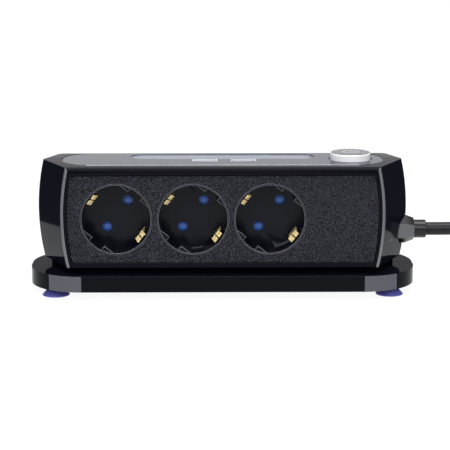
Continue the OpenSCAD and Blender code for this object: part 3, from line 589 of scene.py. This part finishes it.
@dataclass
class Studio:
    """The floor, the lights and the camera."""

    target: Point = (1.4 * MM, 0.0, 35.8 * MM)
    distance: float = 0.95
    azimuth: float = -0.65
    elevation: float = 11.9
    lens: float = 133.8
    floor_glow: float = 0.93
    table_near: Flat = (0.06, -1.2)
    table_far: Flat = (0.75, 4.5)
    ground_reach: float = 9.0
    ground_drop: float = 0.4 * MM
    sky_strength: float = 1.3
    sky_spread: float = 60.0
    sky_tilt: float = -8.0
    room_glow: float = 0.06

    def build(self) -> None:
        """Makes the studio."""
        self.camera()
        self.floor()
        self.lights()

    def camera(self) -> None:
        """Stands the camera before the strip."""
        turn, rise = math.radians(self.azimuth), math.radians(self.elevation)
        away = Vector((math.sin(turn) * math.cos(rise), -math.cos(turn) * math.cos(rise), math.sin(rise)))
        data = bpy.data.cameras.new("camera")
        data.lens = self.lens
        data.sensor_width = 36.0
        data.clip_start = 0.01
        data.clip_end = 50.0
        camera = bpy.data.objects.new("camera", data)
        camera.location = Vector(self.target) + away * self.distance
        camera.rotation_euler = (-away).to_track_quat("-Z", "Y").to_euler()
        bpy.context.scene.collection.objects.link(camera)
        bpy.context.scene.camera = camera

    def floor(self) -> None:
        """Lays a plain pale table that widens towards the back, on a plain pale ground."""
        near, far, wide = self.table_near, self.table_far, self.ground_reach
        table = [(-near[0], near[1]), (near[0], near[1]), (far[0], far[1]), (-far[0], far[1])]
        self.sheet("floor", table, 0.0)
        around = [(-wide, -wide), (wide, -wide), (wide, wide), (-wide, wide)]
        ground = self.sheet("ground", around, -self.ground_drop)
        ground.visible_glossy = False
        ground.visible_diffuse = False
        ground.visible_transmission = False
        ground.visible_shadow = False

    def sheet(self, name: str, corners: Sequence[Flat], level: float) -> bpy.types.Object:
        """Lays one flat pale sheet.

        Args:
            name: Its name.
            corners: Its corners, in metres.
            level: Its height.

        Returns:
            The sheet.
        """
        work = bmesh.new()
        work.faces.new([work.verts.new((x, y, level)) for x, y in corners])
        mesh = meshed(work, name)
        surface = material(TABLE_PALE)
        mesh.materials.append(surface)
        shader = surface.node_tree.nodes["Principled BSDF"]
        shader.inputs["Emission Color"].default_value = (1.0, 1.0, 1.0, 1.0)
        shader.inputs["Emission Strength"].default_value = self.floor_glow
        laid = bpy.data.objects.new(name, mesh)
        bpy.context.scene.collection.objects.link(laid)
        return laid

    def lights(self) -> None:
        """Hangs the soft lights."""
        self.panel("overhead", (0.0, -0.05, 1.0), (0.0, 0.0, 0.0), (1.1, 0.5), 5.0)
        self.panel("backdrop_glow", (0.0, 2.6, 0.85), (0.0, 0.0, 0.3), (4.5, 1.6), 0.85)
        self.panel("left_card", (-1.3, -0.7, 0.5), (0.0, 0.0, 0.05), (0.7, 0.9), 1.2)
        self.panel("right_card", (1.3, -0.7, 0.5), (0.0, 0.0, 0.05), (0.7, 0.9), 1.2)
        self.panel("front_soft", (0.0, -1.4, 0.9), (0.0, 0.0, 0.04), (2.2, 1.0), 3.5)
        sun = bpy.data.lights.new("sky", "SUN")
        sun.energy = self.sky_strength
        sun.angle = math.radians(self.sky_spread)
        above = bpy.data.objects.new("sky", sun)
        above.rotation_euler = (math.radians(self.sky_tilt), 0.0, 0.0)
        bpy.context.scene.collection.objects.link(above)
        world = bpy.data.worlds.new("studio")
        bpy.context.scene.world = world
        world.use_nodes = True
        room = world.node_tree.nodes["Background"]
        room.inputs["Color"].default_value = (0.95, 0.96, 1.0, 1.0)
        room.inputs["Strength"].default_value = self.room_glow
        bpy.context.scene.view_settings.view_transform = "Standard"

    def panel(self, name: str, place: Point, aim: Point, size: Flat, brightness: float) -> None:
        """Hangs one flat light.

        Args:
            name: Its name.
            place: Where it hangs.
            aim: What it faces.
            size: Its width and height, in metres.
            brightness: How bright its face is.
        """
        data = bpy.data.lights.new(name, "AREA")
        data.shape = "RECTANGLE"
        data.size, data.size_y = size
        data.energy = brightness * math.pi * size[0] * size[1]
        light = bpy.data.objects.new(name, data)
        light.location = place
        light.rotation_euler = (Vector(aim) - Vector(place)).to_track_quat("-Z", "Y").to_euler()
        bpy.context.scene.collection.objects.link(light)


# ---- The lead ----


@dataclass
class Lead:
    """The mains lead, its stored hank, its tie and its plug."""

    diameter: float = 7.4 * MM
    length: float = 1.5
    outward: list[Point] = field(default_factory=lambda: [
        (107, 0, 33.5), (115, 0, 33.5), (123, 0, 33.5), (131, 0, 33.5), (141, 1, 32.5), (150, 4, 30),
        (159, 10, 25.5), (167, 15.5, 19.5), (175, 19.5, 13), (184, 21.5, 8), (194, 22, 5),
    ])
    to_plug: list[Point] = field(default_factory=lambda: [
        (175, -8, 18.5), (177.5, 3.5, 18.5), (184, 13, 18.5), (193.5, 19.5, 18.5), (205, 22, 18.5),
        (217, 21.5, 18.5), (229, 19, 18.5), (241, 16, 18.5), (253, 14.5, 18.5), (268, 14.5, 18.5),
        (284, 14.5, 18.5), (301, 14.5, 18.5), (321, 14.5, 18.5),
    ])
    way_out: Point = (115.4 * MM, 0.0, 33.5 * MM)
    left_fold: Flat = (205.0, -8.0)
    run: float = 78.0
    inner: float = 22.5
    pitch: float = 7.5
    stations: int = 24
    crossing_from: float = 0.76
    crossing_share: float = 0.23
    climb_from: float = 0.66
    climb_share: float = 0.21
    last_share: float = 0.87
    rib_start: float = 21 * MM
    rib_step: float = 3.6 * MM
    rib_radius: float = 11.1 * MM
    rib_growth: float = 0.36 * MM

    def build(self) -> None:
        """Makes the lead and everything on it."""
        tie = softened("cord_tie", "lead_tie", STRIP, everywhere(0.3 * MM), [SHEATH_BLACK])
        relief = self.relief()
        plug = self.plug()
        grips = self.grips()
        lead = self.curve()
        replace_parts(lead, "power_cord", "cord_hank", "plug_lead")
        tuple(self.way_out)

    def hank(self) -> list[Point]:
        """Works out the hank's turns.

        Returns:
            The points of the turns, in millimetres.
        """
        cx, cy = self.left_fold
        low, high, top = (self.diameter * layer / MM for layer in (0.5, 1.5, 2.5))
        outer = self.inner + self.pitch
        points = []
        for turn in range(4):
            for station in range(self.stations):
                u = station / self.stations
                if turn == 3 and u >= self.last_share:
                    break
                shift = ease((u - self.crossing_from) / self.crossing_share)
                swell = math.sin(math.pi * shift)
                if turn == 0:
                    radius, z = outer - self.pitch * shift, low
                elif turn == 1:
                    radius, z = self.inner - 2.6 * swell, low + (high - low) * shift
                elif turn == 2:
                    radius, z = self.inner + self.pitch * shift, high + swell
                else:
                    radius, z = outer, high + (top - high) * ease((u - self.climb_from) / self.climb_share)
                points.append((*self.station(u, radius, cx, cy), z))
        return points

    def station(self, u: float, radius: float, cx: float, cy: float) -> Flat:
        """Places a station of a turn.

        Args:
            u: The share of the turn that is done.
            radius: The fold's radius there.
            cx: Place of the left fold's middle along the strip.
            cy: Place of the folds' middle, front to back.

        Returns:
            The station's place.
        """
        part, t = int(u * 4), u * 4 % 1
        if part == 0:
            return cx + self.run * t, cy + radius
        if part == 2:
            return cx + self.run * (1 - t), cy - radius
        right = part == 1
        angle = math.pi * ((0.5 if right else 1.5) - t)
        return cx + (self.run if right else 0.0) + radius * math.cos(angle), cy + radius * math.sin(angle)

    def curve(self) -> bpy.types.Object:
        """Draws the lead as one smooth curve.

        Returns:
            The curve.
        """
        data = bpy.data.curves.new("lead", "CURVE")
        data.dimensions = "3D"
        data.bevel_depth = self.diameter / 2
        data.bevel_resolution = 5
        data.resolution_u = 5
        data.use_fill_caps = True
        spline = data.splines.new("BEZIER")
        points = [Vector(p) * MM for p in self.outward + self.hank() + self.to_plug]
        spline.bezier_points.add(len(points) - 1)
        for knot, place in zip(spline.bezier_points, points):
            knot.co = place
            knot.handle_left_type = knot.handle_right_type = "AUTO"
        data.materials.append(material(SHEATH_BLACK))
        lead = bpy.data.objects.new("lead", data)
        bpy.context.scene.collection.objects.link(lead)
        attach(lead, STRIP)
        return lead

    def relief(self) -> bpy.types.Object:
        """Makes the strain relief's collar with its rounded mouth.

        Returns:
            The collar.
        """
        return softened("strain_relief", "relief_collar", STRIP, everywhere(0.5 * MM), [RELIEF_BLACK])

    def plug(self) -> bpy.types.Object:
        """Makes the plug's moulded body.

        Returns:
            The body.
        """
        return softened("mains_plug", "plug_body", STRIP, everywhere(0.6 * MM), [PLUG_BLACK])

    def grips(self) -> bpy.types.Object:
        """Makes the ribs round the plug's waist.

        Returns:
            The ribs.
        """
        low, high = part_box("mains_plug")
        centre = (low.x, (low.y + high.y) / 2, (low.z + high.z) / 2)
        work = bmesh.new()
        for rib in range(4):
            at = self.rib_start + self.rib_step * rib
            radius = self.rib_radius + self.rib_growth * rib
            bead = [(radius + 0.7 * MM * math.cos(a), at + 0.9 * MM * math.sin(a)) for a in turn_angles(10)]
            mesh = lathe(bead + bead[:1], centre, Axis.ALONG, 48)
            work.from_mesh(mesh)
            bpy.data.meshes.remove(mesh)
        mesh = meshed(work, "plug_grips")
        mesh.shade_smooth()
        return add_piece("plug_grips", mesh, STRIP, [PLUG_BLACK])


def ease(t: float) -> float:
    """Eases from 0 to 1.

    Args:
        t: The share, which may run past either end.

    Returns:
        The eased share.
    """
    t = min(max(t, 0.0), 1.0)
    return t * t * (3 - 2 * t)


def turn_angles(count: int) -> list[float]:
    """Divides a full turn.

    Args:
        count: How many parts.

    Returns:
        The angles, in radians.
    """
    return [2 * math.pi * i / count for i in range(count)]


# ---- The casing ----


@dataclass
class Casing:
    """The two shells, the front panel, the base and the cups."""

    side_round: float = 1.3 * MM
    edge_round: float = 2.4 * MM
    face_round: float = 0.5 * MM
    seam_round: float = 0.4 * MM
    panel_round: float = 0.35 * MM
    base_round: float = 1.1 * MM
    foot_round: float = 0.5 * MM
    cup_round: float = 0.25 * MM
    ridge_from: float = 84 * MM

    def build(self) -> None:
        """Makes the casing's pieces."""
        self.front()
        self.rear()
        grained = everywhere(self.panel_round)
        softened("front_panel", "grained_panel", STRIP, grained, [PANEL_GRAIN], segments=2)
        self.base()
        for number in range(1, 5):
            softened(f"suction_cup_{number}", f"cup_{number}", STRIP, everywhere(self.cup_round), [CUP_GEL])
        paint(["neck", "base_cover"], GLOSS_BLACK)
        # the nut's faces that look straight ahead take a painted highlight
        nut = [RELIEF_BLACK, NUT_PAINTED_HIGHLIGHT]
        softened("cable_gland", "gland_nut", STRIP, everywhere(self.seam_round), nut, front_pick)

    def front(self) -> None:
        """Makes the front shell, with a painted highlight on its side edges."""
        low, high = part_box("front_shell")

        def rule(edge: bmesh.types.BMEdge) -> tuple[float, bool]:
            """Rounds the face's side edges with a painted highlight, its top edge wide and the seams a
            little.
            """
            middle = edge_middle(edge)
            steep = min(abs(face.normal.y) for face in edge.link_faces) > 0.2
            on_face = middle.y < low.y + HAIR
            if on_face and abs(middle.x) > self.ridge_from and steep:
                return self.side_round, True
            if on_face and middle.z > high.z - 1 * MM:
                return self.edge_round, False
            if on_face:
                return self.face_round, False
            if middle.z > high.z - HAIR or middle.z < low.z + HAIR:
                return self.seam_round, False
            return 0.0, False

        # the ends take a painted reflection, the top a painted shade and the side edges a painted highlight
        finishes = [GLOSS_BLACK, END_BLACK_PAINTED_REFLECTION, TOP_BLACK_PAINTED_SHADE, FRONT_EDGE_PAINTED_HIGHLIGHT]
        softened("front_shell", "front_casing", STRIP, rule, finishes, side_pick)

    def rear(self) -> None:
        """Makes the rear shell."""
        low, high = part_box("rear_shell")

        def rule(edge: bmesh.types.BMEdge) -> tuple[float, bool]:
            """Rounds the edges of the top, the bottom and the back a little."""
            middle = edge_middle(edge)
            outer = middle.z > high.z - HAIR or middle.z < low.z + HAIR or middle.y > high.y - HAIR
            return (self.seam_round if outer else 0.0), False

        # the ends take a painted reflection and the top a painted shade
        softened("rear_shell", "rear_casing", STRIP, rule, [GLOSS_BLACK, END_BLACK_PAINTED_REFLECTION, TOP_BLACK_PAINTED_SHADE], side_pick)

    def base(self) -> None:
        """Makes the base with its rounded upper edge."""
        low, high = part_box("base_plate")

        def rule(edge: bmesh.types.BMEdge) -> tuple[float, bool]:
            """Rounds the upper edge, with a painted highlight line in front, and the lower edge."""
            top = min(v.co.z for v in edge.verts) > high.z - HAIR / 2
            bottom = max(v.co.z for v in edge.verts) < low.z + HAIR / 2
            ahead = top and max(v.co.y for v in edge.verts) < low.y + 2 * HAIR
            return (self.base_round if top else self.foot_round if bottom else 0.0), ahead

        # the corners and the front edge line take painted highlights, the top a painted shade
        finishes = [BASE_GLOSS, BASE_CORNER_PAINTED_HIGHLIGHT, BASE_TOP_PAINTED_SHADE, BASE_EDGE_PAINTED_HIGHLIGHT]
        softened("base_plate", "base_tray", STRIP, rule, finishes, corner_pick, segments=4)


def edge_middle(edge: bmesh.types.BMEdge) -> Vector:
    """Finds an edge's middle.

    Args:
        edge: The edge.

    Returns:
        The place of its middle.
    """
    return (edge.verts[0].co + edge.verts[1].co) / 2


def front_pick(face: bmesh.types.BMFace) -> int:
    """Picks the painted highlight for a face that may look straight ahead.

    Args:
        face: The face.

    Returns:
        1, the painted highlight, for a face that looks ahead, otherwise 0.
    """
    return 1 if face.normal.y < -0.9 else 0


def corner_pick(face: bmesh.types.BMFace) -> int:
    """Picks the finish of the base, which has a painted highlight on its wall where its front corners begin
    and a painted shade on its top.

    Args:
        face: The face.

    Returns:
        2 for the top's painted shade, 1 for the painted highlight on the first part of a front corner,
        otherwise 0.
    """
    if face.normal.z > 0.9:
        return 2
    turning = face.normal.y < -0.78 and 0.03 < abs(face.normal.x) < 0.62
    return 1 if turning and abs(face.normal.z) < 0.1 else 0


def side_pick(face: bmesh.types.BMFace) -> int:
    """Picks a shell face's finish by the way that it faces, so that the one black shell carries a painted
    reflection on its ends and a painted shade on its top.

    Args:
        face: The face.

    Returns:
        1 for an end face's painted reflection, 2 for the top's painted shade, otherwise 0.
    """
    if face.normal.z > 0.8:
        return 2
    return 1 if abs(face.normal.x) > 0.5 else 0


# ---- The sockets ----


@dataclass
class Sockets:
    """The recesses, the shutters behind them and the contacts."""

    count: int = 3
    lobe: float = 3.4 * MM
    dome: float = 2.3 * MM
    dome_rise: float = 0.26 * MM
    rim_round: float = 0.24 * MM
    rim_depth: float = 1.8 * MM
    clip_round: float = 0.15 * MM

    def build(self) -> None:
        """Makes the sockets' pieces."""
        for number in range(1, self.count + 1):
            self.recess(number)
            bow, clip = f"earth_bow_{number}", f"earth_clip_{number}"
            softened(bow, clip, STRIP, everywhere(self.clip_round), [CLIP_BRASS])
            self.domes(number)
        paint([f"shutter_{n}" for n in range(1, self.count + 1)], SHUTTER_BLUE)
        paint(["shutter_springs"], STEEL)
        paint(["earth_rail", "live_rail", "neutral_rail", "plug_earth"], BRASS)
        paint(["contact_carrier", "carrier_pillars", "rail_cover"], PALE_PLASTIC)

    def recess(self, number: int) -> None:
        """Makes one recess, with a painted highlight on its rim.

        Args:
            number: The socket's number.
        """
        dish = f"socket_dish_{number}"
        low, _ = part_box(dish)

        def rule(edge: bmesh.types.BMEdge) -> tuple[float, bool]:
            """Rounds the rim with a painted highlight and leaves the rest sharp."""
            rim = edge_middle(edge).y < low.y + self.rim_depth
            return (self.rim_round if rim else 0.0), True

        finishes = [RECESS_BLACK, RIM_PAINTED_HIGHLIGHT]
        softened(dish, f"recess_{number}", STRIP, rule, finishes, segments=2, clamp=False)

    def domes(self, number: int) -> None:
        """Makes the two low domes on a shutter that show through the pin holes.

        Args:
            number: The shutter's number.
        """
        low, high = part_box(f"shutter_{number}")
        middle = (low + high) / 2
        reach = (high.z - low.z) / 2 - self.lobe
        across = (high.x - low.x) / 2 - self.lobe
        work = bmesh.new()
        for side in (-1, 1):
            made = bmesh.ops.create_uvsphere(work, u_segments=24, v_segments=12, radius=self.dome)
            for vert in made["verts"]:
                flat = Vector((vert.co.x, vert.co.y * self.dome_rise / self.dome, vert.co.z))
                vert.co = flat + Vector((middle.x + side * across, low.y, middle.z + side * reach))
        mesh = meshed(work, f"shutter_domes_{number}")
        mesh.shade_smooth()
        piece = add_piece(f"shutter_domes_{number}", mesh, f"shutter_{number}", [SHUTTER_BLUE])


# ---- The top ----


@dataclass
class TopDeck:
    """The top inlay, the charging ports and the push button."""

    disc_radius: float = 5.75 * MM
    symbol_radius: float = 2.1 * MM
    symbol_stroke: float = 0.3 * MM
    symbol_gap: float = 40.0
    symbol_height: float = 0.17 * MM
    bar_length: float = 2.4 * MM
    inlay_round: float = 0.4 * MM
    port_round: float = 0.12 * MM
    cap_round: float = 0.9 * MM
    trough_from: float = 8 * MM
    trough_depth: float = 1.5 * MM

    def build(self) -> None:
        """Makes the top's pieces."""
        low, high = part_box("top_inlay")

        def rule(edge: bmesh.types.BMEdge) -> tuple[float, bool]:
            """Rounds each edge, with a painted highlight line along the front."""
            ahead = max(v.co.y for v in edge.verts) < low.y + 0.3 * MM
            upper = min(v.co.z for v in edge.verts) > high.z - HAIR
            return self.inlay_round, ahead and upper

        def pick(face: bmesh.types.BMFace) -> int:
            """Picks the painted highlight for the trough's back wall."""
            middle = face.calc_center_median()
            inside = middle.z < high.z - self.trough_depth and middle.y > self.trough_from
            return 1 if inside and face.normal.y < -0.2 else 0

        softened("top_inlay", "top_tray", STRIP, rule, [INLAY_GLOSS, INLAY_PAINTED_HIGHLIGHT], pick)
        for side in ("left", "right"):
            shell, port = f"usb_shell_{side}", f"port_{side}"
            softened(shell, port, STRIP, everywhere(self.port_round), [PORT_BRIGHT], segments=2)
        paint(["usb_tongue_left", "usb_tongue_right", "button_stem"], PALE_PLASTIC)
        self.button()

    def button(self) -> None:
        """Makes the push button with its disc and its power symbol."""
        low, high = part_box("push_button")
        middle = (low + high) / 2

        def rule(edge: bmesh.types.BMEdge) -> tuple[float, bool]:
            """Rounds the cap's upper edge."""
            upper = min(v.co.z for v in edge.verts) > high.z - HAIR / 2
            return (self.cap_round if upper else 0.0), False

        def pick(face: bmesh.types.BMFace) -> int:
            """Picks the dark finish for the cap's top."""
            return 1 if face.normal.z > 0.9 else 0

        softened("push_button", "button_cap", BUTTON, rule, [BUTTON_SIDE, BUTTON_TOP], pick, segments=4)
        r = self.disc_radius
        top = (middle.x, middle.y, high.z)
        low_lip, lip = 0.02 * MM, 0.05 * MM
        ring = [(r, low_lip), (r + 0.12 * MM, lip), (r + 0.35 * MM, lip), (r + 0.45 * MM, low_lip)]
        groove = add_piece("button_groove", lathe(ring, top), BUTTON, [SYMBOL_INK])
        angles = [math.pi / 2 * i / 8 for i in range(9)]
        crown = [(r * math.cos(a), low_lip + 0.12 * MM * math.sin(a)) for a in angles]
        add_piece("button_disc", lathe(crown, top), BUTTON, [BUTTON_DISC])
        self.symbol(top)

    def symbol(self, top: Point) -> None:
        """Draws the plain power symbol: an open ring and a bar.

        Args:
            top: The middle of the button's top.
        """
        work = bmesh.new()
        steps = 32
        level = top[2] + self.symbol_height
        gap = math.radians(self.symbol_gap)
        outer, inner = self.symbol_radius + self.symbol_stroke, self.symbol_radius - self.symbol_stroke
        rows = []
        for step in range(steps + 1):
            angle = math.pi / 2 + gap + (2 * math.pi - 2 * gap) * step / steps
            way = Vector((math.cos(angle), math.sin(angle), 0.0))
            rows.append([work.verts.new(Vector((top[0], top[1], level)) + way * r) for r in (inner, outer)])
        for a, b in zip(rows, rows[1:]):
            work.faces.new((a[0], a[1], b[1], b[0]))
        half = self.symbol_stroke
        foot, head = 0.3 * MM, 0.3 * MM + self.bar_length
        corners = [(-half, foot), (half, foot), (half, head), (-half, head)]
        work.faces.new([work.verts.new((top[0] + x, top[1] + y, level)) for x, y in corners])
        bmesh.ops.recalc_face_normals(work, faces=work.faces)
        mark = add_piece("button_symbol", meshed(work, "button_symbol"), BUTTON, [SYMBOL_INK])


# ---- The inside ----


@dataclass
class Inside:
    """The boards, the switch, the wiring and the screws."""

    finishes: dict[str, Finish] = field(default_factory=lambda: {
        "usb_port_board": BOARD_GREEN, "converter_board": BOARD_GREEN, "transformer": COIL_TAPE,
        "capacitors": SLEEVE_BLUE, "button_guide": SWITCH_BLACK, "button_spring": STEEL,
        "switch_body": SWITCH_BLACK, "cord_clamp": RELIEF_BLACK, "inner_cable": SHEATH_BLACK,
        "wire_live_in": WIRE_BROWN, "wire_live_out": WIRE_BROWN, "wire_neutral": WIRE_BLUE,
        "wire_earth": WIRE_GREEN, "shell_screws": STEEL, "base_screws": STEEL, "carrier_screws": STEEL,
        "clamp_screws": STEEL, "plug_pins": NICKEL,
    })

    def build(self) -> None:
        """Paints the inside's solids."""
        for name, finish in self.finishes.items():
            paint([name], finish)


def main() -> None:
    """Builds the whole scene."""
    logging.basicConfig(level=logging.INFO, format="%(message)s")
    for part in (Studio(), Lead(), Casing(), Sockets(), TopDeck(), Inside()):
        log.info("building %s", type(part).__name__)
        part.build()


if __name__ == "__main__":
    main()
